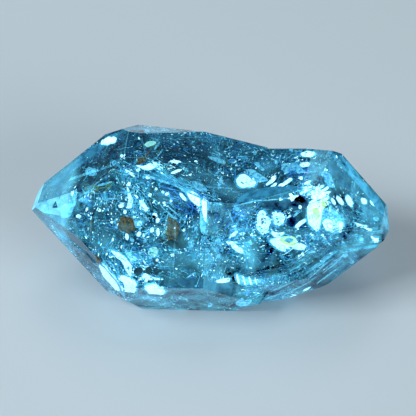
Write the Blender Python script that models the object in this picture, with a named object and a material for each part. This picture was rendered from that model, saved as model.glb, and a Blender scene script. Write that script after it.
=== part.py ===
"""Petroleum quartz: two doubly terminated quartz crystals grown together side by side.

Both crystals have their long (c) axis along X. A crystal's faces are flat planes at a
distance from its centre, so each crystal is a block cut down by its faces one by one.
An azimuth goes round the c axis: 0 faces the front (-Y), 90 up, 180 the back, 270 down.
A lean tips a face from the prism towards the right end (+) or the left end (-).
"""

import math

import bmesh
import bpy
from mathutils import Matrix, Vector

MM = 0.001

# Quartz: rhombohedral faces stand 51.8 degrees off the c axis, so they lean by 38.2.
RHOMB_LEAN = 38.2
# Half the side of the block that each crystal is cut from.
BLANK_HALF = 22.0

# The larger crystal, on the left: where its centre is, and how far out each face lies (mm).
# A name gives the azimuth of that face in a perfect crystal; these stray a little from it.
LARGE_CENTRE = (-3.6, 0.05, 6.9)
LARGE_FACES = {
    "prism_30": (30, 0, 4.78),
    "prism_90": (90, 0, 6.05),
    "prism_150": (150, 0, 6.04),
    "prism_210": (210, 0, 5.25),
    "prism_270": (270, 0, 7.25),
    "prism_330": (335.1, 3.4, 7.16),
    "left_30": (30, -RHOMB_LEAN, 7.75),
    "left_90": (90, -RHOMB_LEAN, 6.77),
    "left_150": (150, -RHOMB_LEAN, 6.90),
    "left_210": (210, -RHOMB_LEAN, 7.26),
    "left_270": (270, -RHOMB_LEAN, 7.33),
    "left_330": (342, -37.6, 7.53),
    "left_tip": (96.9, -64.7, 9.38),
    "right_30": (30, RHOMB_LEAN, 5.85),
    "right_210": (210, RHOMB_LEAN, 8.52),
    "right_270": (270, RHOMB_LEAN, 8.97),
    "saddle": (97.4, 26.1, 4.56),
    "shoulder": (60, 5, 5.65),
    "back_slope": (124, 3, 5.7),
    "rear_corner": (131.1, -20.7, 6.71),
    "under_left": (322.6, -22, 8.19),
    "blunt_tip": (50.1, -38, 7.4),
}

# The smaller crystal, on the right.
SMALL_CENTRE = (4.2, 0.45, 6.0)
SMALL_FACES = {
    "prism_30": (30, 0, 4.24),
    "prism_90": (82.6, 0, 5.41),
    "prism_150": (146.7, 0.7, 4.82),
    "prism_210": (210, 0, 4.80),
    "prism_270": (270, 0, 6.30),
    "prism_330": (326, -6.9, 6.74),
    "right_30": (48.2, RHOMB_LEAN, 6.59),
    "right_90": (70.8, 43, 6.62),
    "right_150": (150, RHOMB_LEAN, 6.88),
    "right_210": (210, RHOMB_LEAN, 6.26),
    "right_270": (271.9, 40, 6.53),
    "right_tip": (61, 66.4, 8.43),
    "left_90": (90, -RHOMB_LEAN, 5.50),
    "left_150": (150, -RHOMB_LEAN, 5.63),
    "left_210": (210, -RHOMB_LEAN, 6.50),
    "left_270": (270, -RHOMB_LEAN, 6.50),
    "left_330": (330, -RHOMB_LEAN, 6.50),
    "corner": (85.7, -16.7, 4.40),
    "taper": (346.4, 31.6, 5.92),
    "lower_front": (334.9, 13.1, 5.62),
    "lower_back": (301.4, 28.8, 6.77),
}

# Growth ledges: a plate stands proud of the named faces by the first number, is drawn in
# from all the other faces by the second, and its centre slides by the three last (mm).
LARGE_LEDGES = (
    (("prism_30",), 0.09, 0.75, (-0.7, 0.2, -0.3)),
    (("prism_90", "back_slope"), 0.10, 1.10, (-0.9, 0.6, 0.0)),
    (("prism_150",), 0.14, 0.90, (0.8, 0.0, -0.4)),
    (("prism_150", "left_210"), 0.07, 1.60, (-1.2, 0.3, 0.5)),
    (("prism_210", "left_210"), 0.13, 0.90, (0.3, 0.6, -0.6)),
    (("prism_210",), 0.22, 1.90, (1.6, 0.0, 0.9)),
    (("left_90",), 0.10, 0.95, (0.5, -0.7, 0.3)),
    (("left_330",), 0.09, 0.80, (0.3, 0.4, 0.3)),
    (("left_150",), 0.12, 0.95, (0.5, 0.4, -0.6)),
    (("saddle",), 0.10, 0.85, (0.1, 0.8, 0.1)),
)
SMALL_LEDGES = (
    (("prism_30",), 0.09, 0.70, (0.5, 0.3, -0.5)),
    (("right_90",), 0.10, 0.80, (-0.3, 0.6, 0.3)),
    (("right_90",), 0.20, 1.90, (-0.7, 1.2, 0.8)),
    (("right_30",), 0.09, 0.95, (-0.5, -0.6, 0.5)),
    (("prism_90", "prism_150"), 0.08, 0.75, (0.6, 0.3, 0.0)),
    (("prism_150", "right_150"), 0.12, 1.20, (-0.8, 0.0, 0.8)),
    (("prism_210", "right_210"), 0.12, 0.80, (-0.5, -0.3, -0.5)),
)

# The stepped taper on the lower right: each step down is set back from the front face by
# one of the heights (mm), and reaches further out over the taper by a share of it.
STEP_FACES = ("taper", "lower_front", "lower_back")
STEP_HEIGHTS = (0.09, 0.21, 0.13, 0.07, 0.26, 0.12, 0.24)
STEP_REACH = 0.75
STEP_INSET = 0.02

# Triangular growth pits on the end faces: crystal, face, place along the face (mm),
# place across it (mm), width (mm).
PITS = (
    ("large", "blunt_tip", -0.3, 0.0, 0.75),
    ("large", "left_30", 0.7, -0.5, 0.50),
    ("large", "left_90", 0.6, -1.2, 0.60),
    ("large", "left_90", -1.4, 0.9, 0.45),
    ("large", "left_330", 0.2, 0.9, 0.50),
    ("large", "left_210", 0.4, 0.2, 0.80),
    ("small", "right_90", 0.5, -0.4, 0.60),
    ("small", "right_30", 0.2, 0.8, 0.55),
    ("small", "right_30", -0.7, -0.9, 0.40),
    ("small", "right_210", 0.3, 0.3, 0.70),
)
PIT_DEPTH_SHARE = 0.30


def outward(azimuth, lean):
    """The direction that a face looks in."""
    turn = math.radians(azimuth)
    tip = math.radians(lean)
    radial = Vector((0, -math.cos(turn), math.sin(turn)))
    return radial * math.cos(tip) + Vector((math.sin(tip), 0, 0))


def cut_by_face(bm, normal, distance):
    """Takes off what lies past one face and closes the cut."""
    cut = bmesh.ops.bisect_plane(
        bm,
        geom=bm.verts[:] + bm.edges[:] + bm.faces[:],
        plane_co=normal * distance,
        plane_no=normal,
        clear_outer=True,
    )
    edges = [item for item in cut["geom_cut"] if isinstance(item, bmesh.types.BMEdge)]
    if len(edges) > 2:
        bmesh.ops.contextual_create(bm, geom=edges)


def crystal_block(name, centre, faces):
    """One convex crystal block as an object, in metres."""
    bm = bmesh.new()
    bmesh.ops.create_cube(bm, size=2 * BLANK_HALF)
    for azimuth, lean, distance in faces.values():
        cut_by_face(bm, outward(azimuth, lean), distance)
    bmesh.ops.recalc_face_normals(bm, faces=bm.faces[:])
    bmesh.ops.translate(bm, verts=bm.verts[:], vec=Vector(centre))
    bmesh.ops.scale(bm, verts=bm.verts[:], vec=Vector((MM, MM, MM)))
    mesh = bpy.data.meshes.new(name)
    bm.to_mesh(mesh)
    bm.free()
    return bpy.data.objects.new(name, mesh)


def moved_faces(faces, named, out, inset):
    """The same faces with the named ones moved out and all the others drawn in."""
    return {
        key: (azimuth, lean, distance + out if key in named else distance - inset)
        for key, (azimuth, lean, distance) in faces.items()
    }


def growth_ledge(name, centre, faces, ledge):
    """A plate on one or two faces, which slides along them but keeps its rise."""
    named, out, inset, slide = ledge
    slide = Vector(slide)
    moved = {}
    for key, (azimuth, lean, distance) in moved_faces(faces, named, out, inset).items():
        kept = outward(azimuth, lean).dot(slide) if key in named else 0
        moved[key] = (azimuth, lean, distance - kept)
    return crystal_block(name, Vector(centre) + slide, moved)


def stepped_faces(faces, step):
    """The faces of one step of the lower right taper, counted from the front."""
    moved = moved_faces(faces, (), 0, STEP_INSET * step)
    set_back = sum(STEP_HEIGHTS[:step])
    still_to_go = sum(STEP_HEIGHTS[step:])
    for key in STEP_FACES:
        azimuth, lean, distance = faces[key]
        moved[key] = (azimuth, lean, distance - STEP_REACH * still_to_go)
    for key in ("prism_30", "right_30"):
        azimuth, lean, distance = faces[key]
        moved[key] = (azimuth, lean, distance - set_back)
    return moved


def face_middle(mesh, normal):
    """The middle of a block's own face that looks along a normal."""
    best = max(mesh.polygons, key=lambda polygon: polygon.normal.dot(normal))
    return best.center.copy()


def pit_cutter(name, block, normal, along, across, width):
    """A three-sided point that sinks a shallow triangular pit into a face."""
    depth = width * PIT_DEPTH_SHARE
    bm = bmesh.new()
    bmesh.ops.create_cone(
        bm,
        cap_ends=True,
        segments=3,
        radius1=0,
        radius2=width * MM,
        depth=2 * depth * MM,
    )
    up_slope = (Vector((1, 0, 0)) - normal * normal.x).normalized()
    sideways = normal.cross(up_slope)
    frame = Matrix((up_slope, sideways, normal)).transposed().to_4x4()
    middle = face_middle(block.data, normal)
    frame.translation = middle + (up_slope * along + sideways * across) * MM
    bmesh.ops.transform(bm, matrix=frame, verts=bm.verts[:])
    bmesh.ops.recalc_face_normals(bm, faces=bm.faces[:])
    mesh = bpy.data.meshes.new(name)
    bm.to_mesh(mesh)
    bm.free()
    return bpy.data.objects.new(name, mesh)


def quartz_material():
    """Clear quartz with a petroleum-blue cast."""
    material = bpy.data.materials.new("clear quartz")
    material.use_nodes = True
    shader = material.node_tree.nodes["Principled BSDF"]
    shader.inputs["Base Color"].default_value = (0.30, 0.62, 0.74, 1)
    shader.inputs["Roughness"].default_value = 0.06
    shader.inputs["Transmission Weight"].default_value = 1.0
    shader.inputs["IOR"].default_value = 1.544
    return material


def join_with(target, operation, name, pieces):
    """One Boolean that takes all the pieces at once; they stay as wire guides."""
    group = bpy.data.collections.new(name)
    bpy.context.scene.collection.children.link(group)
    for piece in pieces:
        group.objects.link(piece)
        piece.hide_render = True
        piece.display_type = "WIRE"
    modifier = target.modifiers.new(name, "BOOLEAN")
    modifier.operation = operation
    modifier.operand_type = "COLLECTION"
    modifier.collection = group
    modifier.solver = "EXACT"


def move_to_ground(objects):
    """The move that puts the middle of the box over the origin and the lowest face at zero."""
    corners = [vertex.co for obj in objects for vertex in obj.data.vertices]
    low = [min(corner[axis] for corner in corners) for axis in range(3)]
    high = [max(corner[axis] for corner in corners) for axis in range(3)]
    shift = Vector((-(low[0] + high[0]) / 2, -(low[1] + high[1]) / 2, -low[2]))
    return Matrix.Translation(shift)


def main():
    for obj in list(bpy.data.objects):
        bpy.data.objects.remove(obj)

    large = crystal_block("quartz_crystal", LARGE_CENTRE, LARGE_FACES)
    growth = []
    for index, ledge in enumerate(LARGE_LEDGES):
        growth.append(growth_ledge(f"large_ledge_{index}", LARGE_CENTRE, LARGE_FACES, ledge))
    for step in range(len(STEP_HEIGHTS) + 1):
        faces = stepped_faces(SMALL_FACES, step)
        growth.append(crystal_block(f"small_step_{step}", SMALL_CENTRE, faces))
    front = stepped_faces(SMALL_FACES, 0)
    for index, ledge in enumerate(SMALL_LEDGES):
        growth.append(growth_ledge(f"small_ledge_{index}", SMALL_CENTRE, front, ledge))

    blocks = {
        "large": (large, LARGE_FACES),
        "small": (crystal_block("small_guide", SMALL_CENTRE, front), front),
    }
    pits = []
    for index, (crystal, key, along, across, width) in enumerate(PITS):
        block, faces = blocks[crystal]
        normal = outward(*faces[key][:2])
        pits.append(pit_cutter(f"pit_{index}", block, normal, along, across, width))
    bpy.data.objects.remove(blocks["small"][0])

    bpy.context.scene.collection.objects.link(large)
    large.data.materials.append(quartz_material())
    stand = move_to_ground([large] + growth)
    for obj in [large] + growth + pits:
        obj.data.transform(stand)
    join_with(large, "UNION", "growth", growth)
    join_with(large, "DIFFERENCE", "pits", pits)


main()
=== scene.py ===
import math
import random

import bmesh
import bpy
import numpy as np
from mathutils import Matrix, Vector, noise
from mathutils.bvhtree import BVHTree


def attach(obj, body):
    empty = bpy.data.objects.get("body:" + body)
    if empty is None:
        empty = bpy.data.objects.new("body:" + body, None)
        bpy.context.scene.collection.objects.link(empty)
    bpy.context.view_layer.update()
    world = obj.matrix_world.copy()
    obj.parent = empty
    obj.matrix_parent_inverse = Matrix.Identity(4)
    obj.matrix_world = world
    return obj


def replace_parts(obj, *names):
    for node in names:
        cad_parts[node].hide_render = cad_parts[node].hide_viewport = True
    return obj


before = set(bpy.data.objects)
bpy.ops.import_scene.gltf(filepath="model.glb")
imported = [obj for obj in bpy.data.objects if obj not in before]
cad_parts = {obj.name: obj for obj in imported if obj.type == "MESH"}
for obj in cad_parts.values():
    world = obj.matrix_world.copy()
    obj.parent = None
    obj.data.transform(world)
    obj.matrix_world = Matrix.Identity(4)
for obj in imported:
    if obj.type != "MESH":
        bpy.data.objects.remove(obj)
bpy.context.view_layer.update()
print("frame loaded")

mm = 0.001

# The view: the photograph looks down on the crystal, its right end a little nearer.
view = {
    "azimuth": 6.0,
    "elevation": 45.0,
    "distance": 145 * mm,
    "lens": 160.0,
    "sensor": 36.0,
    "target": Vector((-0.227, 0.442, 6.95)) * mm,
    "pixels": 416,
}

quartzIor = 1.544
# a ray starts this far past a face; nothing lies deeper than this share of the way through
rayStart = 0.01 * mm
deepest = 0.85


def srgb(hexColour):
    # sRGB hex to linear
    channels = [int(hexColour[i : i + 2], 16) / 255 for i in (1, 3, 5)]
    linear = [c / 12.92 if c <= 0.04045 else ((c + 0.055) / 1.055) ** 2.4 for c in channels]
    return (*linear, 1.0)


def addNode(tree, kind, settings=None, links=None):
    # settings: property or input -> value; links: input -> output socket
    node = tree.nodes.new(kind)
    for key, value in (settings or {}).items():
        if isinstance(key, str) and hasattr(node, key):
            setattr(node, key, value)
        else:
            node.inputs[key].default_value = value
    for key, socket in (links or {}).items():
        tree.links.new(socket, node.inputs[key])
    return node


def newMaterial(name):
    material = bpy.data.materials.new(name)
    material.use_nodes = True
    material.node_tree.nodes.clear()
    return material, material.node_tree


def viewAxes():
    turn = math.radians(view["azimuth"])
    rise = math.radians(view["elevation"])
    back = Vector((math.sin(turn) * math.cos(rise), -math.cos(turn) * math.cos(rise), math.sin(rise)))
    right = Vector((math.cos(turn), math.sin(turn), 0))
    return right, back.cross(right), back


def addCamera():
    right, up, back = viewAxes()
    data = bpy.data.cameras.new("photo camera")
    data.lens = view["lens"]
    data.sensor_width = view["sensor"]
    data.clip_start = 5 * mm
    camera = bpy.data.objects.new("photo camera", data)
    turned = Matrix((right, up, back)).transposed().to_4x4()
    turned.translation = view["target"] + back * view["distance"]
    camera.matrix_world = turned
    bpy.context.scene.collection.objects.link(camera)
    bpy.context.scene.camera = camera


def pieceOf(name, mesh, material):
    mesh.materials.append(material)
    mesh.shade_flat()
    piece = bpy.data.objects.new(name, mesh)
    bpy.context.scene.collection.objects.link(piece)
    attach(piece, "root")
    return piece


def pieceFrom(name, bm, material):
    mesh = bpy.data.meshes.new(name)
    bm.to_mesh(mesh)
    bm.free()
    return pieceOf(name, mesh, material)


def outward(azimuth, lean):
    # the way a crystal face looks: azimuth round the long axis, lean towards an end
    turn, tip = math.radians(azimuth), math.radians(lean)
    radial = Vector((0, -math.cos(turn), math.sin(turn)))
    return radial * math.cos(tip) + Vector((math.sin(tip), 0, 0))


# The quartz: glassy crystal faces, some etched matt, over a deep blue-green body.
quartz = {
    "tint": "#84d3ea",
    "frostTint": "#8fdcf4",
    "shineTint": "#8fd8f0",
    # the colour of the painted glow over the faces
    "glowColour": "#4aa1bd",
    "depthColour": (0.08, 0.36, 0.46, 1),
    "depthDensity": 380.0,
    "gloss": 0.025,  # roughness of a clean face
    "matt": 0.45,  # and of an etched one
    # the solid's mesh: corners this near are one, and faces within this angle (radians) are
    "weld": 0.0005 * mm,
    "flatWithin": 0.004,
    # ridges: their angle in degrees, how round they are worn, the least face beside them
    "ridgeAngle": 9,
    "edgeRounding": 0.07 * mm,
    "bigFace": 1.6 * mm * mm,
    "etchGrain": 0.5 * mm,
    "etchRelief": 0.12,
    "glowGrain": 1.6 * mm,
    # azimuth, lean, from x and to x in mm, how etched, how frosted towards the left tip,
    # how much painted glow it takes, lighter on some faces and darker on others, how thick the inclusions lie
    # under it; a face that looks that way within this cosine takes the row
    "sameWay": 0.9995,
    "faces": (
        (50.1, -38, -15, -5, 0.0, 1.0, 0.55, 1.2),
        (30, -38.2, -15, -5, 0.0, 0.55, 0.35, 0.3),
        (90, -38.2, -15, -5, 0.0, 0.45, 0.08, 0.5),
        (342, -37.6, -15, -3, 0.0, 0.2, 0.12, 0.5),
        (96.9, -64.7, -15, -5, 0.3, 1.0, 0.8, 0.2),
        (30, 0, -15, -1, 0.0, 0.0, 0.20, 1.5),
        (90, 0, -15, 0, 0.0, 0.0, 0.05, 0.25),
        (60, 5, -15, 0, 0.0, 0.0, 0.10, 0.7),
        (124, 3, -15, 2, 0.0, 0.0, 0.35, 0.3),
        (131.1, -20.7, -15, 0, 0.0, 0.0, 0.35, 0.3),
        (97.4, 26.1, -8, 5, 0.0, 0.0, 0.06, 0.35),
        (335.1, 3.4, -15, 4, 0.04, 0.0, 0.32, 0.5),
        (322.6, -22, -15, 0, 0.04, 0.0, 0.25, 0.5),
        (30, 38.2, -6, 4, 0.03, 0.0, 0.45, 1.2),
        (85.7, -16.7, -2, 9, 0.0, 0.0, 0.03, 0.35),
        (82.6, 0, 2, 12, 0.10, 0.0, 0.55, 0.5),
        (30, 0, -1, 12, 0.0, 0.0, 0.34, 1.3),
        (70.8, 43, 5, 15, 0.03, 0.0, 0.42, 0.4),
        (48.2, 38.2, 5, 15, 0.03, 0.0, 0.75, 0.3),
        (346.4, 31.6, 2, 15, 0.06, 0.0, 0.24, 0.7),
        (334.9, 13.1, 0, 15, 0.06, 0.0, 0.24, 0.6),
        (61, 66.4, 5, 15, 0.3, 0.0, 0.6, 0.3),
    ),
    # the same four for every other face, and for the worn ridges, whose glow is a painted highlight along
    # them
    "elsewhere": (0.0, 0.0, 0.18, 1.1),
    "wornRidgesWithPaintedHighlight": (0.35, 0.3, 0.45, 0.3),
    # where the frosting of the left tip starts and is whole, along x
    "frostStart": -10.2 * mm,
    "frostWhole": -10.9 * mm,
    "frostWaves": 1.6 * mm,
    # how much painted glow the frosted tip takes
    "frostGlow": 0.75,
    # soft patches of painted glow: how far in, then column and row in the photograph, radius in mm, how much
    "paintedGlowDepth": 0.1,
    "paintedGlowPlaces": (
        (72, 182, 1.4, 0.80),
        (58, 232, 1.2, 0.60),
        (68, 249, 0.8, 0.45),
        (101, 242, 1.6, 0.50),
        (162, 200, 1.3, 0.40),
        (165, 176, 1.2, 0.25),
        (215, 152, 1.2, 0.20),
        (222, 187, 1.8, 0.42),
        (202, 174, 1.2, 0.25),
        (205, 224, 1.2, 0.55),
        (190, 238, 1.3, 0.40),
        (175, 262, 1.7, 0.45),
        (198, 262, 1.5, 0.45),
        (212, 260, 1.4, 0.45),
        (246, 245, 1.6, 0.35),
        (250, 259, 1.5, 0.60),
        (250, 280, 0.9, 0.50),
        (266, 168, 1.5, 0.35),
        (322, 156, 1.0, 0.50),
        (318, 176, 1.0, 0.35),
        (340, 222, 1.7, 0.50),
        (354, 184, 1.8, 0.50),
        (370, 212, 1.8, 0.62),
        (364, 238, 1.5, 0.80),
        (345, 250, 1.5, 0.35),
        (250, 299, 1.8, 0.45),
        (225, 300, 1.6, 0.35),
        (170, 302, 2.2, 0.25),
        (186, 297, 1.5, 0.40),
        (150, 298, 1.2, 0.30),
        (98, 276, 1.1, 0.25),
        (300, 291, 1.4, 0.30),
        (75, 172, 1.0, 0.35),
        (188, 177, 1.2, 0.30),
        (238, 192, 1.4, 0.30),
        (84, 184, 0.7, 0.40),
        (216, 236, 1.1, 0.35),
        (170, 279, 1.1, 0.30),
        (112, 246, 1.0, 0.30),
        (254, 184, 1.3, 0.40),
    ),
    # the stepped taper: growth lines run along its upper edge. The azimuth of the prism face
    # above it, its own azimuth and lean, then how near to that a face looks, and from which x
    "lined": (30, 346.4, 31.6),
    "linedWay": 0.93,
    "linedFrom": 2 * mm,
    "linePitch": 0.10 * mm,
    "lineLength": 0.9 * mm,
    "lineHeight": 0.06 * mm,
}


def faceFinish(face):
    for azimuth, lean, low, high, *finish in quartz["faces"]:
        facing = face.normal.dot(outward(azimuth, lean)) > quartz["sameWay"]
        if facing and low * mm < face.center.x < high * mm:
            return finish
    return quartz["elsewhere"]


def paintedGlowClouds(tree, place):
    # soft clouds of painted glow round places that show at pixels of the photograph
    total = None
    for column, row, radius, amount in quartz["paintedGlowPlaces"]:
        middle = insideAt(column, row, quartz["paintedGlowDepth"])
        away = addNode(tree, "ShaderNodeVectorMath", {"operation": "DISTANCE", 1: middle}, {0: place})
        soft = addNode(
            tree,
            "ShaderNodeMapRange",
            {"interpolation_type": "SMOOTHSTEP", "From Min": radius * mm, "From Max": 0.0, "To Max": amount},
            {"Value": away.outputs["Value"]},
        )
        if total is not None:
            soft = addNode(tree, "ShaderNodeMath", {"operation": "ADD"}, {0: total, 1: soft.outputs[0]})
        total = soft.outputs[0]
    return total


def quartzMaterial():
    # Natural rock crystal: glassy where a face grew clean, milky and matt where it is etched,
    # with a painted blue glow on its faces, stronger on some faces, at the frosted tip and in soft patches.
    material, tree = newMaterial("petroleum quartz")
    place = addNode(tree, "ShaderNodeTexCoord").outputs["Object"]
    etched, frosted, glow, lined = [
        addNode(tree, "ShaderNodeAttribute", {"attribute_name": name}).outputs["Fac"]
        for name in ("etched", "frosted", "glow", "lined")
    ]
    taper = outward(*quartz["lined"][1:])
    edge = outward(quartz["lined"][0], 0).cross(taper).normalized()
    axes = Vector((1, 0, 0)), taper.cross(edge) / quartz["linePitch"], edge / quartz["lineLength"]
    lengthwise, acrossLines, alongLines = [
        addNode(
            tree, "ShaderNodeVectorMath", {"operation": "DOT_PRODUCT", 1: axis}, {0: place}
        ).outputs["Value"]
        for axis in axes
    ]

    # frost: patchy, with a wavy edge at the left tip
    cloud = addNode(
        tree,
        "ShaderNodeTexNoise",
        {"Scale": 1 / quartz["etchGrain"], "Detail": 5.0, "Roughness": 0.65},
        {"Vector": place},
    ).outputs["Fac"]
    patchy = addNode(
        tree,
        "ShaderNodeMapRange",
        {"From Min": 0.35, "From Max": 0.6, "To Min": 0.35, "To Max": 1.0},
        {"Value": cloud},
    ).outputs[0]
    waves = quartz["frostWaves"]
    wavy = addNode(
        tree, "ShaderNodeMath", {"operation": "MULTIPLY_ADD", 1: waves}, {0: cloud, 2: lengthwise}
    ).outputs[0]
    tipward = addNode(
        tree,
        "ShaderNodeMapRange",
        {"From Min": quartz["frostStart"] + waves / 2, "From Max": quartz["frostWhole"] + waves / 2},
        {"Value": wavy},
    ).outputs[0]
    tipFrost = addNode(tree, "ShaderNodeMath", {"operation": "MULTIPLY"}, {0: frosted, 1: tipward}).outputs[0]
    matt = addNode(tree, "ShaderNodeMath", {"operation": "MAXIMUM"}, {0: etched, 1: tipFrost}).outputs[0]
    frost = addNode(tree, "ShaderNodeMath", {"operation": "MULTIPLY"}, {0: matt, 1: patchy}).outputs[0]
    rough = addNode(
        tree, "ShaderNodeMapRange", {"To Min": quartz["gloss"], "To Max": quartz["matt"]}, {"Value": frost}
    )
    clear = addNode(tree, "ShaderNodeMapRange", {"To Min": 1.0, "To Max": 0.25}, {"Value": frost})
    tint = addNode(
        tree,
        "ShaderNodeMix",
        {"data_type": "RGBA", 6: srgb(quartz["tint"]), 7: srgb(quartz["frostTint"])},
        {0: frost},
    )

    # relief: the etching's grain, and growth lines on the taper
    lineSpace = addNode(tree, "ShaderNodeCombineXYZ", links={"X": acrossLines, "Y": alongLines}).outputs[0]
    lines = addNode(
        tree, "ShaderNodeTexNoise", {"Scale": 1.0, "Detail": 2.0}, {"Vector": lineSpace}
    ).outputs["Fac"]
    relief = addNode(tree, "ShaderNodeMath", {"operation": "MULTIPLY"}, {0: lines, 1: lined}).outputs[0]
    height = addNode(
        tree, "ShaderNodeMath", {"operation": "MULTIPLY_ADD", 1: quartz["etchRelief"]}, {0: cloud, 2: relief}
    ).outputs[0]
    bump = addNode(
        tree, "ShaderNodeBump", {"Strength": 0.5, "Distance": quartz["lineHeight"]}, {"Height": height}
    )

    # painted glow: billows by face, the frosted tip, and the soft patches
    paintedGlowNoise = addNode(
        tree,
        "ShaderNodeTexNoise",
        {"Scale": 1 / quartz["glowGrain"], "Detail": 6.0, "Roughness": 0.62, "Distortion": 0.6},
        {"Vector": place},
    ).outputs["Fac"]
    billow = addNode(
        tree,
        "ShaderNodeMapRange",
        {"From Min": 0.40, "From Max": 0.64, "To Min": 0.0, "To Max": 1.9, "clamp": False},
        {"Value": paintedGlowNoise},
    ).outputs[0]
    tipGlow = addNode(
        tree, "ShaderNodeMath", {"operation": "MULTIPLY", 1: quartz["frostGlow"]}, {0: tipFrost}
    ).outputs[0]
    paintedFaceAndTipGlow = addNode(
        tree, "ShaderNodeMath", {"operation": "MULTIPLY_ADD"}, {0: glow, 1: billow, 2: tipGlow}
    ).outputs[0]
    lit = addNode(tree, "ShaderNodeMath", {"operation": "ADD"}, {0: paintedFaceAndTipGlow, 1: paintedGlowClouds(tree, place)}).outputs[0]

    shader = addNode(
        tree,
        "ShaderNodeBsdfPrincipled",
        {
            "IOR": quartzIor,
            "Specular Tint": srgb(quartz["shineTint"]),
            "Emission Color": srgb(quartz["glowColour"]),
        },
        {
            "Base Color": tint.outputs[2],
            "Transmission Weight": clear.outputs[0],
            "Roughness": rough.outputs[0],
            "Normal": bump.outputs[0],
            "Emission Strength": lit,
        },
    )
    depth = addNode(
        tree,
        "ShaderNodeVolumeAbsorption",
        {"Color": quartz["depthColour"], "Density": quartz["depthDensity"]},
    )
    addNode(
        tree,
        "ShaderNodeOutputMaterial",
        links={"Surface": shader.outputs[0], "Volume": depth.outputs[0]},
    )
    return material


def quartzFaces():
    bm = bmesh.new()
    bm.from_mesh(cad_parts["quartz_crystal"].data)
    bmesh.ops.remove_doubles(bm, verts=bm.verts[:], dist=quartz["weld"])
    bmesh.ops.dissolve_limit(bm, angle_limit=quartz["flatWithin"], verts=bm.verts[:], edges=bm.edges[:])
    ridges = [
        edge
        for edge in bm.edges
        if len(edge.link_faces) == 2
        and edge.calc_face_angle_signed(0) > math.radians(quartz["ridgeAngle"])
        and min(face.calc_area() for face in edge.link_faces) > quartz["bigFace"]
    ]
    rounded = bmesh.ops.bevel(
        bm,
        geom=ridges,
        offset=quartz["edgeRounding"],
        offset_type="OFFSET",
        affect="EDGES",
        segments=2,
        profile=0.5,
        material=-1,
        clamp_overlap=True,
    )
    bmesh.ops.recalc_face_normals(bm, faces=bm.faces[:])
    mesh = bpy.data.meshes.new("quartz")
    bm.faces.index_update()
    wornRidgesWithPaintedHighlight = set(face.index for face in rounded["faces"])
    bm.to_mesh(mesh)
    bm.free()
    for name in ("etched", "frosted", "glow", "crowd", "lined"):
        mesh.attributes.new(name, "FLOAT", "FACE")
    taper = outward(*quartz["lined"][1:])
    for face in mesh.polygons:
        finish = quartz["wornRidgesWithPaintedHighlight"] if face.index in wornRidgesWithPaintedHighlight else faceFinish(face)
        onTaper = face.normal.dot(taper) > quartz["linedWay"] and face.center.x > quartz["linedFrom"]
        for name, value in zip(("etched", "frosted", "glow", "crowd", "lined"), (*finish, float(onTaper))):
            mesh.attributes[name].data[face.index].value = value
    print("quartz faces made,", len(mesh.polygons))
    return mesh


def refracted(direction, normal):
    # Snell's law from air into quartz
    cosine = -direction.dot(normal)
    ratio = 1 / quartzIor
    inner = 1 - ratio * ratio * (1 - cosine * cosine)
    return (direction * ratio + normal * (ratio * cosine - math.sqrt(inner))).normalized()


def insideAt(column, row, depth):
    # the place in the crystal that shows at a pixel of the photograph, depth mm below the face
    right, up, back = viewAxes()
    pixel = view["sensor"] / view["lens"] / view["pixels"]
    half = view["pixels"] / 2
    direction = (-back + right * (column - half) * pixel - up * (row - half) * pixel).normalized()
    eye = view["target"] + back * view["distance"]
    place, normal, index, distance = crystal.ray_cast(eye, direction)
    if place is None:
        return None
    inward = refracted(direction, normal)
    far = crystal.ray_cast(place + inward * rayStart, inward)[3]
    if far is None:
        return None
    return place + inward * min(depth * mm, deepest * far)


def isInside(place, margin):
    near, normal, index, distance = crystal.find_nearest(place)
    return (place - near).dot(normal) < 0 and distance > margin * mm


# How the oil films are made: lengths in mm, wobble in pixels of the photograph.
films = {
    "thickness": 0.06,
    "thickest": 0.5,  # of the depth over it
    "rim": 0.84,  # the side towards the viewer is this much of the other
    "margin": 0.03,
    "fold": 1.2,
    "wobble": 0.3,
    "dropHeight": 0.8,  # of its width
    "dropRough": 0.2,
    "dropCorners": 7,
    "edgeGrowth": 1.22,  # the thin edge round a white film: how much wider, how much deeper
    "edgeBelow": 0.12,
    "edgeThickness": 0.03,
}


def dropOutline(column, row, width, rng):
    # a drop or bubble: an oval with a few waves round it and some chipped corners
    turn = math.radians(rng.uniform(0, 180))
    rough, corners = films["dropRough"], films["dropCorners"]
    waves = [(count, rng.uniform(0, 6.28), rough * rng.uniform(0.3, 1.0) / count) for count in (2, 3, 5)]
    points = []
    for corner in range(corners):
        angle = 2 * math.pi * corner / corners
        radius = 1 + sum(size * math.sin(count * angle + shift) for count, shift, size in waves)
        radius += rng.uniform(-0.3, 0.3) * rough
        x = math.cos(angle) * radius * width / 2
        y = math.sin(angle) * radius * width * films["dropHeight"] / 2
        across = x * math.cos(turn) + y * math.sin(turn)
        points.append((column + across, row - x * math.sin(turn) + y * math.cos(turn)))
    return points


def strokeOutline(fromColumn, fromRow, toColumn, toRow, width):
    # a narrow sheet pointed at both ends: a crack seen on edge, and for some strokes a line of painted
    # highlight, for others of painted shade
    length = math.hypot(toColumn - fromColumn, toRow - fromRow)
    x, y = (toColumn - fromColumn) / length, (toRow - fromRow) / length
    outline = []
    for share, side in ((0, 0), (0.2, 0.5), (0.7, 0.5), (1, 0), (0.8, -0.5), (0.3, -0.5)):
        column = fromColumn + x * length * share - y * side * width
        outline.append((column, fromRow + y * length * share + x * side * width))
    return outline


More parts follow.
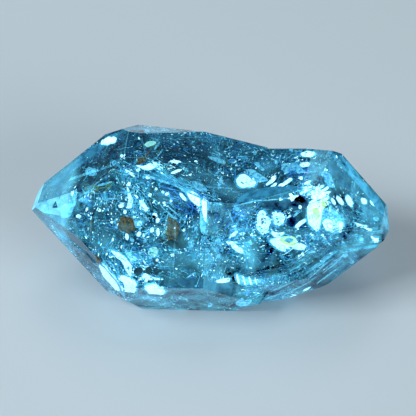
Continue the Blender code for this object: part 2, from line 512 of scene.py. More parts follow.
def rounded(outline, rng):
    # an outline drawn as a curve through its points, a little uneven
    points = [Vector(point) for point in outline]
    wobble = films["wobble"]
    curve = []
    for index, point in enumerate(points):
        before, after = points[index - 1], points[(index + 1) % len(points)]
        later = points[(index + 2) % len(points)]
        for share in (0.0, 0.35, 0.7):
            square, cube = share * share, share * share * share
            place = before * (-share + 2 * square - cube) + point * (2 - 5 * square + 3 * cube)
            place = 0.5 * (place + after * (share + 4 * square - 3 * cube) + later * (cube - square))
            curve.append(place + Vector((rng.uniform(-wobble, wobble), rng.uniform(-wobble, wobble))))
    return curve


def grown(outline, share):
    middle = sum((Vector(point) for point in outline), Vector((0, 0))) / len(outline)
    return [middle + (Vector(point) - middle) * share for point in outline]


def sheetAt(bm, outline, depth, thickness=films["thickness"]):
    # a thin closed sheet in the crystal that shows as the outline, its rim chamfered
    back = viewAxes()[2]
    places = [insideAt(column, row, depth) for column, row in outline]
    places = [place for place in places if place is not None and isInside(place, films["margin"])]
    # none of it past a fold of the crystal
    near = sorted(place.dot(back) for place in places)
    places = [place for place in places if abs(place.dot(back) - near[len(near) // 2]) < films["fold"] * mm]
    if len(places) < 3:
        return
    face = bm.faces.new([bm.verts.new(place) for place in places])
    raised = bmesh.ops.extrude_face_region(bm, geom=[face])
    top = [item for item in raised["geom"] if isinstance(item, bmesh.types.BMVert)]
    bmesh.ops.translate(bm, verts=top, vec=back * min(thickness, films["thickest"] * depth) * mm)
    middle = sum((vert.co for vert in top), Vector()) / len(top)
    bmesh.ops.scale(bm, verts=top, vec=Vector((1, 1, 1)) * films["rim"], space=Matrix.Translation(-middle))


def glowing(name, bright, dim, strength, grain, share=0.5):
    # An inclusion's own colour, also given out as a painted glow, brighter and duller in patches.
    material, tree = newMaterial(name)
    place = addNode(tree, "ShaderNodeTexCoord").outputs["Object"]
    cloud = addNode(
        tree,
        "ShaderNodeTexNoise",
        {"Scale": 1 / (grain * mm), "Detail": 4.0, "Roughness": 0.6},
        {"Vector": place},
    )
    ramp = addNode(tree, "ShaderNodeValToRGB", links={"Fac": cloud.outputs["Fac"]})
    ramp.color_ramp.elements[0].position = share - 0.12
    ramp.color_ramp.elements[0].color = srgb(dim)
    ramp.color_ramp.elements[1].position = share + 0.06
    ramp.color_ramp.elements[1].color = srgb(bright)
    shader = addNode(
        tree,
        "ShaderNodeBsdfPrincipled",
        {"Roughness": 0.5, "Emission Strength": strength},
        {"Base Color": ramp.outputs[0], "Emission Color": ramp.outputs[0]},
    )
    addNode(tree, "ShaderNodeOutputMaterial", links={"Surface": shader.outputs[0]})
    return material


def plain(name, colour, glow, rough=0.5):
    # the colour is also given out as a painted glow, as strong as glow says
    material, tree = newMaterial(name)
    colour = srgb(colour)
    settings = {"Base Color": colour, "Roughness": rough, "Emission Color": colour, "Emission Strength": glow}
    shader = addNode(tree, "ShaderNodeBsdfPrincipled", settings)
    addNode(tree, "ShaderNodeOutputMaterial", links={"Surface": shader.outputs[0]})
    return material


# The oil-filled cracks and pockets that show in the photograph, and some sheets of painted rim light,
# sheen and shade. Each sheet is a depth under the face in mm, then its outline in pixels of the photograph.
sheets = {
    "white": (
        (0.5, (99, 265), (104, 268), (109, 274), (115, 281),
         (119, 288), (119, 291), (113, 288), (106, 281), (102, 274)),
        (0.6, (118, 277), (124, 276), (132, 279), (137, 284),
         (135, 288), (136, 291), (130, 296), (124, 295), (122, 289)),
        (0.8, (111, 251), (119, 253), (125, 257), (129, 262), (133, 267),
         (134, 272), (131, 276), (127, 274), (122, 262), (117, 258)),
        (0.4, (144, 287), (148, 285), (155, 284), (160, 288),
         (165, 291), (163, 295), (158, 298), (152, 297), (148, 292)),
        (0.5, (143, 274), (147, 274), (153, 277), (161, 279),
         (155, 280), (148, 280), (147, 282), (143, 280)),
        (0.6, (136, 165), (144, 166), (150, 163), (157, 163), (156, 167), (148, 170), (141, 168)),
        (0.8, (127, 187), (130, 192), (132, 198), (133, 203),
         (131, 208), (127, 208), (128, 203), (128, 197)),
        (0.7, (139, 201), (142, 200), (146, 205), (148, 210), (145, 211), (141, 206)),
        (0.2, (187, 192), (192, 191), (197, 194), (200, 199), (200, 206), (195, 204), (190, 199)),
        (0.9, (258, 213), (262, 210), (266, 213), (269, 219), (271, 224),
         (268, 230), (264, 235), (260, 232), (256, 227), (257, 219)),
        (0.95, (273, 215), (276, 211), (281, 213),
         (285, 216), (285, 221), (281, 225), (276, 225), (273, 221)),
        (0.8, (236, 181), (239, 176), (243, 174), (248, 176),
         (252, 180), (256, 182), (254, 186), (248, 187), (240, 187)),
        (0.7, (271, 230), (274, 232), (278, 233), (284, 232), (281, 236), (274, 237)),
        (0.8, (270, 241), (276, 238), (283, 238), (291, 244), (298, 243),
         (306, 246), (302, 250), (292, 249), (288, 252), (280, 250), (273, 245)),
        (0.6, (311, 195), (316, 191), (323, 191), (326, 196), (320, 199), (313, 199)),
        (0.8, (307, 206), (312, 203), (320, 201), (325, 205),
         (322, 212), (321, 220), (318, 231), (312, 227), (308, 221)),
        (0.7, (323, 222), (327, 219), (332, 221), (335, 226), (332, 230), (326, 230)),
        (0.7, (337, 223), (341, 221), (344, 224), (344, 228), (340, 230), (337, 227)),
        (0.5, (287, 200), (292, 196), (299, 195), (296, 199), (290, 202)),
        (0.5, (295, 226), (299, 222), (304, 219), (306, 221), (300, 226), (296, 228)),
        (0.5, (279, 185), (284, 182), (290, 178), (292, 180), (287, 184), (281, 187)),
        (0.25, (202, 200), (206, 201), (207, 210), (206, 222), (203, 216), (202, 207)),
        (0.7, (226, 242), (230, 241), (236, 245), (242, 249), (243, 253), (238, 252), (231, 247)),
        (0.5, (216, 281), (222, 279), (230, 278), (228, 282), (220, 283)),
    ),
    "pale": (
        (0.25, (63, 207), (70, 203), (75, 190), (77, 197), (74, 208), (68, 217), (61, 217)),
        (0.4, (201, 199), (207, 200), (208, 212), (206, 233), (201, 232), (200, 214)),
        (0.5, (284, 240), (289, 238), (294, 240), (289, 243)),
        (0.6, (246, 172), (249, 169), (254, 170), (258, 173),
         (263, 176), (268, 180), (262, 182), (255, 181)),
        (0.5, (254, 163), (258, 162), (261, 166), (265, 169), (262, 171), (257, 167)),
        (0.6, (281, 165), (288, 163), (296, 163), (300, 166),
         (304, 172), (300, 174), (292, 171), (285, 174)),
        (0.3, (234, 274), (242, 276), (252, 279), (265, 281), (262, 284), (250, 285), (238, 284)),
        (0.5, (321, 172), (329, 173), (332, 179), (335, 187), (330, 187), (324, 180)),
        (0.9, (322, 212), (330, 207), (338, 211), (344, 218), (344, 230), (334, 234), (324, 230)),
        (0.5, (192, 181), (200, 183), (207, 189), (205, 192), (197, 190)),
        (0.6, (85, 170), (90, 167), (97, 172), (95, 176), (88, 175)),
        (0.5, (208, 156), (218, 158), (226, 162), (222, 164), (212, 160)),
        (0.5, (131, 220), (139, 220), (142, 225), (137, 228), (131, 226)),
        (0.4, (236, 302), (244, 300), (250, 303), (246, 306), (238, 306)),
    ),
    "green": (
        (0.8, (125, 252), (129, 252), (134, 256), (138, 259), (135, 261), (130, 260)),
        (0.7, (148, 254), (149, 249), (153, 247), (157, 248), (158, 252), (156, 256), (152, 256)),
        (0.4, (144, 145), (147, 142), (152, 141), (156, 142), (154, 145), (148, 147)),
    ),
    "yellow": (
        (0.65, (279, 240), (283, 237), (288, 236), (294, 237), (297, 241), (295, 245), (287, 245)),
        (0.65, (311, 212), (314, 208), (319, 209), (320, 216), (316, 221), (312, 219)),
        (0.5, (322, 198), (325, 201), (325, 208), (322, 206)),
    ),
    # dark blue sheets: the deeper ones are dark oil films; those 0.15 to 0.25 mm under a face are painted
    # shade laid over dark parts of the crystal
    "blue": (
        (0.9, (160, 184), (171, 183), (183, 189), (190, 199),
         (196, 207), (197, 216), (189, 213), (180, 203), (168, 193)),
        (0.6, (290, 199), (298, 195), (306, 197), (309, 203), (305, 209), (299, 213), (293, 209)),
        (0.6, (287, 214), (294, 214), (297, 221), (293, 227), (287, 224)),
        (0.25, (204, 281), (218, 283), (234, 284), (236, 290), (218, 292), (204, 290)),
        (0.75, (261, 219), (263, 218), (264, 222), (262, 225), (261, 223)),
        (0.8, (276, 218), (278, 218), (278, 220), (276, 220)),
        (0.15, (262, 205), (276, 202), (289, 199), (291, 204), (284, 210), (268, 209)),
        (0.15, (66, 230), (74, 235), (84, 245), (93, 255), (96, 263), (90, 264), (80, 255), (72, 243)),
        (0.15, (327, 165), (333, 160), (341, 169), (349, 184), (350, 190), (342, 186), (334, 178)),
        (0.25, (166, 284), (180, 279), (196, 277), (208, 281), (206, 290), (188, 292), (172, 290)),
    ),
    # pale sheets along the outline and over a few faces: painted rim light and painted sheen, not films
    "paintedRimAndSheen": (
        (0.5, (150, 173), (160, 172), (169, 176), (180, 179),
         (188, 184), (178, 185), (163, 180), (152, 178)),
        (0.3, (237, 200), (248, 192), (268, 187), (288, 186),
         (298, 187), (292, 193), (270, 197), (246, 202)),
        (0.25, (52, 222), (60, 224), (64, 229), (69, 240), (74, 254), (66, 246), (57, 235)),
        (0.3, (50, 184), (75, 161), (100, 142), (112, 134), (140, 127),
         (150, 128), (140, 134), (115, 141), (100, 151), (76, 169), (58, 185)),
        (0.3, (330, 151), (345, 158), (362, 179), (380, 199), (386, 214),
         (380, 213), (369, 198), (350, 176), (338, 164), (328, 157)),
    ),
    "brown": (
        (0.2, (120, 218), (125, 216), (128, 221), (131, 231), (127, 234), (122, 226)),
        (0.22, (128, 217), (133, 219), (135, 230), (131, 230)),
        (0.25, (117, 221), (120, 223), (124, 231), (119, 230)),
        (0.2, (168, 216), (172, 218), (175, 228), (174, 240), (169, 243), (167, 230)),
        (0.22, (174, 219), (179, 225), (180, 236), (176, 242), (174, 230)),
        (0.4, (150, 151), (147, 157), (143, 163), (137, 164), (138, 159), (144, 156)),
        (0.8, (120, 219), (124, 220), (127, 216), (132, 220),
         (130, 225), (133, 229), (127, 233), (122, 229), (118, 227)),
        (0.8, (168, 217), (172, 221), (173, 228), (176, 232),
         (174, 241), (171, 245), (168, 240), (165, 236), (169, 229)),
        (0.5, (88, 255), (95, 254), (100, 259), (99, 264), (92, 261)),
        (0.5, (91, 218), (94, 222), (93, 230), (90, 232)),
    ),
    "black": (
        (0.15, (134, 270), (139, 267), (143, 269), (141, 274), (135, 275)),
        (0.15, (145, 269), (149, 267), (152, 270), (149, 274), (146, 273)),
        (0.15, (153, 269), (157, 268), (159, 272), (155, 275)),
        (0.15, (166, 242), (172, 239), (178, 242), (186, 240), (188, 246), (180, 249), (172, 248)),
        (0.15, (177, 238), (179, 231), (183, 234), (184, 241), (180, 243)),
        (0.15, (93, 211), (95, 215), (94, 224), (93, 232), (91, 226)),
        (0.15, (266, 278), (268, 272), (273, 267), (278, 262), (281, 264), (277, 270), (272, 276)),
        (0.3, (294, 199), (300, 196), (305, 199), (302, 203), (297, 203)),
        (0.15, (308, 254), (313, 256), (318, 259), (322, 256), (321, 260), (317, 263), (311, 259)),
        (0.15, (152, 216), (154, 215), (156, 217), (154, 219)),
    ),
}

# Cracks seen on edge, and some lines of painted highlight and painted shade: from column and row to column
# and row, width (pixels), depth (mm).
strokes = {
    "white": (
        (229, 238, 238, 231, 2.6, 0.4),
        (298, 259, 304, 253, 1.6, 0.3),
        (266, 185, 276, 178, 3.0, 0.5),
        (268, 190, 277, 183, 2.6, 0.5),
        (272, 192, 279, 187, 2.0, 0.5),
        (271, 178, 276, 176, 2.0, 0.4),
        (304, 184, 311, 181, 2.0, 0.5),
        (300, 194, 311, 187, 3.4, 0.5),
        (280, 198, 285, 206, 3.0, 0.4),
        (289, 192, 292, 197, 2.4, 0.4),
        (125, 169, 135, 177, 2.0, 0.5),
        (171, 173, 181, 170, 2.6, 0.4),
        (170, 161, 181, 162, 2.4, 0.4),
        (180, 193, 186, 201, 3.0, 0.4),
        (301, 154, 315, 154, 5.0, 0.4),
        (304, 191, 312, 186, 2.6, 0.5),
        (306, 197, 315, 191, 2.4, 0.5),
        (315, 188, 324, 186, 2.8, 0.5),
        (321, 192, 329, 187, 2.4, 0.5),
        (319, 202, 329, 198, 2.6, 0.5),
        (324, 193, 331, 192, 2.0, 0.5),
        (309, 203, 318, 199, 2.4, 0.5),
        (276, 188, 284, 184, 1.8, 0.4),
        (283, 190, 288, 186, 1.6, 0.4),
        (237, 275, 239, 284, 1.6, 0.15),
        (243, 276, 245, 285, 1.6, 0.15),
        (249, 277, 251, 285, 1.4, 0.15),
        (255, 278, 257, 285, 1.2, 0.15),
        (300, 165, 310, 164, 4.0, 0.4),
        (289, 298, 297, 295, 1.6, 0.3),
        (303, 291, 311, 287, 1.6, 0.3),
        (354, 222, 372, 231, 1.6, 0.25),
        (371, 236, 375, 240, 1.6, 0.25),
        (347, 195, 352, 207, 5.0, 0.5),
        (337, 196, 343, 205, 4.0, 0.5),
        (332, 198, 335, 205, 2.6, 0.5),
        (362, 198, 366, 204, 4.6, 0.4),
        (371, 199, 376, 206, 4.6, 0.4),
        (158, 218, 157, 223, 3.0, 0.5),
        (158, 228, 158, 236, 2.6, 0.5),
        (127, 233, 127, 240, 3.0, 0.5),
    ),
    "pale": (
        # the first four pale strokes run along ridges of the crystal: painted highlights, not cracks
        (234, 206, 262, 200, 0.8, 0.2),
        (258, 201, 289, 198, 0.8, 0.2),
        (140, 173, 178, 187, 1.6, 0.15),
        (174, 185, 206, 201, 1.8, 0.15),
        (101, 256, 118, 283, 1.6, 0.3),
        (107, 258, 120, 278, 1.0, 0.3),
        (230, 231, 239, 223, 2.2, 0.4),
        (185, 279, 196, 272, 1.6, 0.3),
        (81, 195, 96, 189, 2.0, 0.5),
        (96, 186, 112, 182, 2.2, 0.5),
        (104, 200, 118, 198, 2.0, 0.5),
        (160, 205, 178, 222, 1.4, 0.4),
        (164, 203, 186, 222, 1.2, 0.4),
        (140, 211, 150, 222, 1.4, 0.4),
        (133, 202, 132, 222, 1.4, 0.4),
        (136, 196, 136, 212, 1.2, 0.4),
        (120, 192, 132, 193, 1.6, 0.5),
        (154, 150, 160, 142, 2.0, 0.5),
        (156, 158, 164, 148, 1.4, 0.5),
        (228, 209, 233, 222, 1.6, 0.4),
        (214, 176, 222, 168, 1.8, 0.5),
        (218, 190, 222, 176, 2.6, 0.5),
        (293, 217, 300, 211, 2.0, 0.4),
        (287, 216, 284, 224, 2.0, 0.4),
        # these pale strokes, low on the right, are painted highlights along the growth lines of the ribbed
        # taper
        (310, 277, 330, 262, 1.2, 0.25),
        (306, 274, 334, 252, 1.4, 0.25),
        (316, 284, 338, 268, 1.2, 0.25),
        (322, 274, 342, 258, 1.0, 0.25),
        (270, 292, 296, 281, 1.0, 0.2),
        (282, 296, 304, 285, 1.0, 0.2),
        (262, 300, 284, 293, 1.0, 0.2),
        (296, 290, 318, 276, 1.0, 0.2),
        (314, 270, 338, 250, 1.0, 0.2),
        (326, 268, 348, 252, 1.0, 0.2),
        (328, 208, 328, 220, 2.0, 0.5),
        (334, 209, 335, 219, 1.6, 0.5),
    ),
    "blue": (
        # the blue strokes are painted shade between those highlights on the ribbed taper
        (300, 276, 330, 250, 1.1, 0.2),
        (306, 282, 338, 256, 1.1, 0.2),
        (318, 280, 344, 262, 1.0, 0.2),
        (268, 296, 292, 284, 1.2, 0.2),
        (284, 288, 306, 276, 1.1, 0.2),
        (262, 290, 284, 282, 1.1, 0.2),
        (290, 284, 322, 256, 1.1, 0.2),
    ),
}

# Round drops and bubbles: column, row, width in pixels, depth (mm).
drops = {
    "seed": 7,
    "white": (
        (108, 141, 9, 0.15), (104, 142, 7, 0.2), (113, 140, 8, 0.15), (122, 156, 4, 0.5),
        (138, 170, 4, 0.5), (148, 177, 5, 0.5), (78, 216, 4, 0.4), (99, 210, 4, 0.5),
        (87, 209, 3, 0.5), (112, 222, 3, 0.5), (139, 234, 5, 0.6), (144, 235, 3, 0.6),
        (139, 224, 6, 0.5), (152, 230, 5, 0.6), (155, 215, 5, 0.5), (171, 283, 3, 0.4),
        (172, 255, 3, 0.4), (157, 260, 3, 0.5), (66, 208, 7, 0.4), (67, 214, 7, 0.4),
        (73, 194, 5, 0.4), (74, 199, 4, 0.4), (129, 184, 4, 0.5), (121, 206, 5, 0.6),
        (125, 212, 4, 0.6), (156, 189, 3, 0.5), (167, 194, 4, 0.5), (163, 192, 3, 0.5),
        (150, 195, 4, 0.6), (164, 203, 3, 0.5), (171, 201, 3, 0.5), (184, 230, 3, 0.5),
        (176, 228, 4, 0.5), (290, 188, 3, 0.4), (301, 178, 4, 0.4), (300, 207, 4, 0.4),
        (290, 216, 3, 0.5), (326, 170, 3, 0.4), (376, 240, 5, 0.25), (324, 196, 3, 0.5),
        (341, 225, 6, 0.5), (330, 226, 6, 0.5),
    ),
    "pale": (
        (114, 163, 6, 0.5), (262, 148, 6, 0.4), (255, 153, 4, 0.4), (291, 149, 5, 0.4),
        (276, 162, 4, 0.4), (218, 241, 6, 0.4), (219, 256, 5, 0.4), (298, 170, 6, 0.5),
        (376, 219, 6, 0.4), (361, 239, 5, 0.4), (147, 131, 6, 0.4), (210, 305, 5, 0.3),
        (82, 200, 6, 0.5), (104, 196, 6, 0.6), (116, 227, 4, 0.5), (132, 240, 5, 0.5),
        (145, 241, 4, 0.5), (196, 229, 5, 0.4), (204, 238, 6, 0.4), (207, 250, 5, 0.4),
        (191, 246, 5, 0.4), (236, 209, 6, 0.4), (250, 243, 5, 0.5), (326, 243, 6, 0.5),
        (312, 236, 6, 0.5), (345, 255, 6, 0.4), (343, 243, 5, 0.4), (352, 262, 5, 0.3),
    ),
}


def flakePieces():
    rng = random.Random(drops["seed"])
    looks = {
        "white": glowing("glowing oil film", "#ffffff", "#6ccbe8", 1.7, 0.20, 0.42),
        "pale": glowing("thin glowing oil film", "#9fe2f6", "#2f86ac", 0.75, 0.25),
        "green": glowing("greenish oil film", "#dcfbe6", "#6fc4b8", 1.0, 0.10),
        "yellow": glowing("yellow petroleum", "#f0ee9c", "#b4cc7a", 1.5, 0.30),
        # dark films, and sheets and strokes of painted shade
        "blue": glowing("deep blue film and painted shade", "#184e78", "#0a2840", 0.30, 0.30),
        # the sheets of painted rim light and sheen
        "paintedRimAndSheen": glowing("painted rim light and sheen", "#5aa9c6", "#2c6f8c", 0.45, 0.60),
        "brown": glowing("brown bitumen film", "#9a6422", "#33200c", 0.42, 0.20),
        "black": glowing("black bitumen", "#12212e", "#05080b", 0.12, 0.20),
    }
    edges = bmesh.new()
    for kind, look in looks.items():
        bm = bmesh.new()
        shown = [(depth, outline) for depth, *outline in sheets.get(kind, ())]
        shown += [(depth, strokeOutline(*ends, width)) for *ends, width, depth in strokes.get(kind, ())]
        shown += [(depth, dropOutline(*drop, rng)) for *drop, depth in drops.get(kind, ())]
        for depth, outline in shown:
            sheetAt(bm, rounded(outline, rng), depth)
            if kind == "white":
                wider = rounded(grown(outline, films["edgeGrowth"]), rng)
                sheetAt(edges, wider, depth + films["edgeBelow"], films["edgeThickness"])
        filmPiece(f"{kind}_films", bm, look)
    # a faint rim of painted glow round each white film
    filmPiece("film_edges", edges, glowing("oil film thinning out", "#7fd6f0", "#1f7096", 0.55, 0.15))
    print("flakes made")


def filmPiece(name, bm, look):
    bmesh.ops.triangulate(bm, faces=bm.faces[:])
    bmesh.ops.recalc_face_normals(bm, faces=bm.faces[:])
    pieceFrom(name, bm, look)


# Small inclusions all through the crystal, thickest just under its faces, and the swarms that
# show in the photograph.
specks = {
    "seed": 11,
    "margin": 0.12,
    "meanDepth": 1.3,
    # most needles lie near one of these ways: a healed crack each
    "grainWays": ((0.80, -0.35, 0.50), (1, 0, 0), (0.62, 0.45, -0.64), (0.20, 0.60, 0.77)),
    "grainStray": 0.35,
    "grainShare": 0.8,
    "grainScale": 260,
    "grainBands": 2.6,
    "sealed": 0.04,  # mm of quartz left over each
    "smallness": 3.0,  # a higher power gives more small ones
    # thin towards the tips: full from and over how many mm on the left, then on the right
    "tips": (-12.6, 2.0, 11.5, 3.0),
    # clumps: two noise scales, the share of the second, then least, base and gain
    "clumps": (420, 1300, 0.6, 0.02, 0.30, 2.0),
    "swarmSpread": 0.55,
    "swarmDepths": (0.2, 1.1),
    # calm zones: column, row, half width and half height in pixels, share that is left
    "calm": (
        (103, 236, 17, 12, 0.25),
        (180, 262, 28, 13, 0.2),
        (262, 196, 30, 8, 0.15),
        (205, 148, 70, 16, 0.45),
        (262, 154, 42, 10, 0.3),
        (362, 205, 28, 38, 0.5),
        (200, 301, 80, 9, 0.15),
        (120, 138, 40, 12, 0.4),
        (225, 262, 22, 14, 0.4),
        (72, 158, 22, 16, 0.5),
        (318, 165, 12, 20, 0.2),
        (104, 190, 26, 26, 0.4),
        (300, 205, 11, 10, 0.1),
        (265, 206, 26, 5, 0.3),
        (206, 285, 36, 7, 0.12),
        (143, 271, 14, 5, 0.2),
        (284, 227, 9, 6, 0.3),
        (338, 172, 10, 12, 0.2),
        (306, 256, 14, 7, 0.15),
        (306, 266, 42, 24, 0.35),
        (126, 148, 14, 20, 0.15),
        (262, 264, 22, 12, 0.4),
        (178, 200, 20, 14, 0.5),
        (366, 238, 14, 16, 0.2),
    ),
    # name: colour, painted glow, count, shape, length from and to, width share from and to (mm)
    "kinds": {
        "white_specks": ("#e9fbff", 1.9, 7200, "dot", (0.03, 0.32), (0.12, 0.5)),
        "cyan_needles": ("#84d9ec", 1.15, 10800, "needle", (0.08, 0.90), (0.03, 0.09)),
        "cyan_specks": ("#60c0d8", 0.95, 7800, "dot", (0.03, 0.22), (0.3, 1.0)),
        "blue_needles": ("#3a86d8", 1.1, 6400, "needle", (0.10, 0.9), (0.04, 0.11)),
        "olive_needles": ("#93a468", 0.6, 1200, "needle", (0.10, 0.7), (0.05, 0.14)),
        "teal_plates": ("#2a8fa8", 0.5, 3800, "plate", (0.10, 0.6), (0.3, 0.8)),
        "black_grains": ("#050607", 0.0, 3400, "dot", (0.04, 0.26), (0.4, 1.0)),
        "brown_grains": ("#7a4f1a", 0.25, 1200, "plate", (0.06, 0.28), (0.4, 0.9)),
    },
    # column, row, half length and half width in pixels, turn in degrees, how many
    "swarms": {
        "white_specks": (
            (165, 166, 14, 5, -10, 60),
            (188, 175, 6, 2, 0, 14),
            (148, 220, 22, 24, 30, 110),
            (314, 190, 12, 6, 25, 40),
            (332, 208, 15, 20, -30, 60),
            (86, 200, 6, 14, 80, 24),
            (130, 262, 26, 12, -30, 60),
            (262, 240, 34, 22, 10, 40),
            (104, 208, 12, 16, 90, 50),
        ),
        "cyan_needles": (
            (165, 168, 18, 7, -15, 140),
            (182, 183, 32, 6, -22, 260),
            (176, 198, 17, 8, -30, 50),
            (97, 200, 4, 9, 90, 40),
            (90, 172, 7, 4, 0, 50),
            (238, 222, 24, 12, 38, 90),
            (314, 190, 13, 8, 25, 70),
            (221, 158, 8, 4, -25, 45),
            (150, 262, 30, 10, -20, 90),
            (352, 215, 12, 16, -40, 60),
            (140, 205, 26, 22, -45, 160),
            (300, 268, 26, 10, 38, 120),
        ),
        "cyan_specks": (
            (182, 183, 32, 7, -22, 160),
            (262, 236, 40, 24, 0, 260),
            (120, 262, 28, 12, -30, 160),
            (150, 215, 34, 30, 0, 260),
            (208, 240, 8, 26, 90, 160),
            (350, 225, 24, 22, 0, 120),
        ),
        "blue_needles": (
            (195, 203, 10, 12, -50, 150),
            (178, 198, 17, 8, -35, 120),
            (235, 220, 24, 14, 38, 200),
            (86, 197, 5, 12, 60, 60),
            (300, 172, 10, 6, 0, 40),
        ),
        "olive_needles": (
            (92, 191, 9, 4, 25, 60),
            (106, 186, 8, 3, 20, 40),
            (165, 232, 5, 10, 80, 50),
            (224, 163, 9, 3, -20, 40),
            (156, 148, 12, 8, 50, 40),
        ),
        "black_grains": (
            (172, 240, 10, 6, 20, 60),
            (146, 271, 14, 4, 0, 60),
            (82, 248, 12, 5, -45, 60),
            (300, 203, 9, 7, 0, 24),
            (92, 228, 3, 8, 80, 30),
        ),
        "brown_grains": (
            (172, 230, 7, 14, 90, 70),
            (125, 225, 8, 8, 0, 60),
            (144, 158, 8, 6, 40, 50),
            (94, 190, 12, 5, 25, 40),
            (92, 259, 8, 4, 0, 40),
        ),
    },
}


def template(shape):
    bm = bmesh.new()
    if shape == "dot":
        bmesh.ops.create_icosphere(bm, subdivisions=1, radius=0.5)
    elif shape == "needle":
        bmesh.ops.create_cone(bm, cap_ends=True, segments=3, radius1=0.5, radius2=0.2, depth=1)
    else:
        bmesh.ops.create_cone(bm, cap_ends=True, segments=6, radius1=0.5, radius2=0.4, depth=0.12)
    bm.verts.ensure_lookup_table()
    points = np.array([vert.co[:] for vert in bm.verts])
    corners = [[vert.index for vert in face.verts] for face in bm.faces]
    bm.free()
    return points, corners


def copiesOf(name, shape, places, material):
    # one joined mesh of many copies of a small shape
    points, corners = template(shape)
    matrices = np.array([np.array(place) for place in places])
    spread = np.einsum("nij,pj->npi", matrices[:, :3, :3], points) + matrices[:, None, :3, 3]
    faces = []
    for start in range(0, len(places) * len(points), len(points)):
        faces.extend([start + corner for corner in face] for face in corners)
    mesh = bpy.data.meshes.new(name)
    mesh.from_pydata(spread.reshape(-1, 3).tolist(), [], faces)
    return pieceOf(name, mesh, material)


def pixelOf(place):
    # where a place shows in the photograph, but for the bending of light at the faces
    right, up, back = viewAxes()
    offset = place - view["target"]
    size = view["pixels"] * view["lens"] / view["sensor"] / (view["distance"] - offset.dot(back))
    return view["pixels"] / 2 + offset.dot(right) * size, view["pixels"] / 2 - offset.dot(up) * size


def crowding(place):
    # how thick the inclusions lie: clumped, and thin towards both tips and where it is calm
    x = place.x / mm
    left, leftOver, right, rightOver = specks["tips"]
    share = min(1.0, max(0.0, (x - left) / leftOver)) * min(1.0, max(0.0, (right - x) / rightOver))
    column, row = pixelOf(place)
    for middle, height, long, wide, kept in specks["calm"]:
        if ((column - middle) / long) ** 2 + ((row - height) / wide) ** 2 < 1:
            share *= kept
    coarse, fine, fineShare, least, base, gain = specks["clumps"]
    clump = noise.noise(place * coarse) + fineShare * noise.noise(place * fine)
    return share * min(1.0, max(least, base + gain * clump))


def laid(shape, place, way, rng, lengths, widths):
    # where and how one inclusion lies, near the way given
    long = lengths[0] + (lengths[1] - lengths[0]) * rng.random() ** specks["smallness"]
    wide = long * rng.uniform(*widths)
    flat = long * rng.uniform(*widths)
    size = (long, wide, long) if shape == "plate" else (wide, flat, long)
    stray = Vector((rng.gauss(0, 1), rng.gauss(0, 1), rng.gauss(0, 1))) * specks["grainStray"]
    turn = (way.normalized() + stray).to_track_quat("Z", "Y").to_matrix().to_4x4()
    turn = turn @ Matrix.Rotation(rng.uniform(0, 6.283), 4, "Z")
    return Matrix.Translation(place) @ turn @ Matrix.Diagonal((*[side * mm for side in size], 1))


def sealed(copy):
    # whether an inclusion, as laid, lies wholly in the crystal
    sides = [Vector(side) * sign for side in ((0.5, 0, 0), (0, 0.5, 0), (0, 0, 0.5)) for sign in (-1, 1)]
    return all(isInside(copy @ side, specks["sealed"]) for side in sides)


def scattered(mesh, rng, count):
    # places under the faces; neighbours share a grain
    mesh.calc_loop_triangles()
    corners = [[mesh.vertices[index].co for index in triangle.vertices] for triangle in mesh.loop_triangles]
    crowd = mesh.attributes["crowd"].data
    weights = [triangle.area * crowd[triangle.polygon_index].value for triangle in mesh.loop_triangles]
    normals = [triangle.normal for triangle in mesh.loop_triangles]
    ways = [Vector(way) for way in specks["grainWays"]]
    found = []
    while len(found) < count:
        index = rng.choices(range(len(corners)), weights)[0]
        a, b = sorted((rng.random(), rng.random()))
        p, q, r = corners[index]
        depth = specks["margin"] + rng.expovariate(1 / specks["meanDepth"])
        place = p * a + q * (b - a) + r * (1 - b) - normals[index] * depth * mm
        if rng.random() < crowding(place) and isInside(place, specks["margin"]):
            grain = int((noise.noise(place * specks["grainScale"]) + 1) * specks["grainBands"]) % len(ways)
            found.append((place, ways[grain] if rng.random() < specks["grainShare"] else rng.choice(ways)))
    return found


def swarmed(swarms, rng):
    # places in the swarms, which are laid out by pixels of the photograph
    right, up, back = viewAxes()
    found = []
    for column, row, long, wide, turn, count in swarms:
        turn = math.radians(turn)
        for _ in range(count):
            x, y = rng.gauss(0, specks["swarmSpread"]) * long, rng.gauss(0, specks["swarmSpread"]) * wide
            across, down = x * math.cos(turn) + y * math.sin(turn), y * math.cos(turn) - x * math.sin(turn)
            place = insideAt(column + across, row + down, rng.uniform(*specks["swarmDepths"]))
            if place is not None and isInside(place, specks["margin"]):
                found.append((place, right * math.cos(turn) + up * math.sin(turn)))
    return found


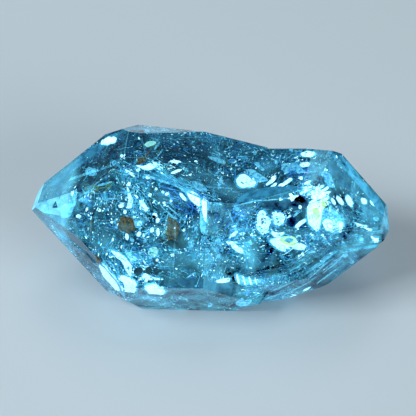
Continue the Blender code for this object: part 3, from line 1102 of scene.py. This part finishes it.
def speckPieces(mesh):
    rng = random.Random(specks["seed"])
    for name, (colour, glow, count, shape, lengths, widths) in specks["kinds"].items():
        places = scattered(mesh, rng, count) + swarmed(specks["swarms"].get(name, ()), rng)
        copies = [laid(shape, place, way, rng, lengths, widths) for place, way in places]
        copies = [copy for copy in copies if sealed(copy)]
        copiesOf(name, shape, copies, plain(name.replace("_", " "), colour, glow))
    print("specks made")


# The stage: colours of the card underneath, the lamps and the surroundings.
studio = {
    "card": "#d6d9db",
    "cardRough": 0.8,
    "lampColour": "#e4f5ff",
    "surroundings": "#c9d4da",
    "surroundingsStrength": 0.19,
}


def addFloor():
    bm = bmesh.new()
    bmesh.ops.create_grid(bm, x_segments=1, y_segments=1, size=1.0)
    mesh = bpy.data.meshes.new("floor")
    bm.to_mesh(mesh)
    bm.free()
    mesh.materials.append(plain("pale matt card", studio["card"], 0.0, studio["cardRough"]))
    floor = bpy.data.objects.new("floor", mesh)
    bpy.context.scene.collection.objects.link(floor)


# Soft boxes: the way each stands from the crystal, how far, how wide, its power in watts.
lamps = {
    "overhead": ((-0.074, 0.499, 0.864), 0.40, 0.16, 0.22),
    "key": ((-0.75, -0.35, 0.70), 0.42, 0.20, 1.4),
    "fill": ((0.70, -0.60, 0.45), 0.42, 0.20, 0.8),
}


def addLights():
    for name, (direction, distance, size, power) in lamps.items():
        data = bpy.data.lights.new(name, "AREA")
        data.size = size
        data.energy = power
        data.color = srgb(studio["lampColour"])[:3]
        lamp = bpy.data.objects.new(name, data)
        way = Vector(direction).normalized()
        lamp.location = view["target"] + way * distance
        lamp.rotation_euler = (-way).to_track_quat("-Z", "Y").to_euler()
        bpy.context.scene.collection.objects.link(lamp)
    world = bpy.data.worlds.new("studio")
    world.use_nodes = True
    background = world.node_tree.nodes["Background"]
    background.inputs["Color"].default_value = srgb(studio["surroundings"])
    background.inputs["Strength"].default_value = studio["surroundingsStrength"]
    bpy.context.scene.world = world
    bpy.context.scene.view_settings.view_transform = "Standard"
    print("floor and lights placed")


addCamera()
quartzMesh = quartzFaces()
crystal = BVHTree.FromPolygons(
    [vertex.co for vertex in quartzMesh.vertices], [face.vertices for face in quartzMesh.polygons]
)
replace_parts(pieceOf("quartz", quartzMesh, quartzMaterial()), "quartz_crystal")
flakePieces()
speckPieces(quartzMesh)
addFloor()
addLights()
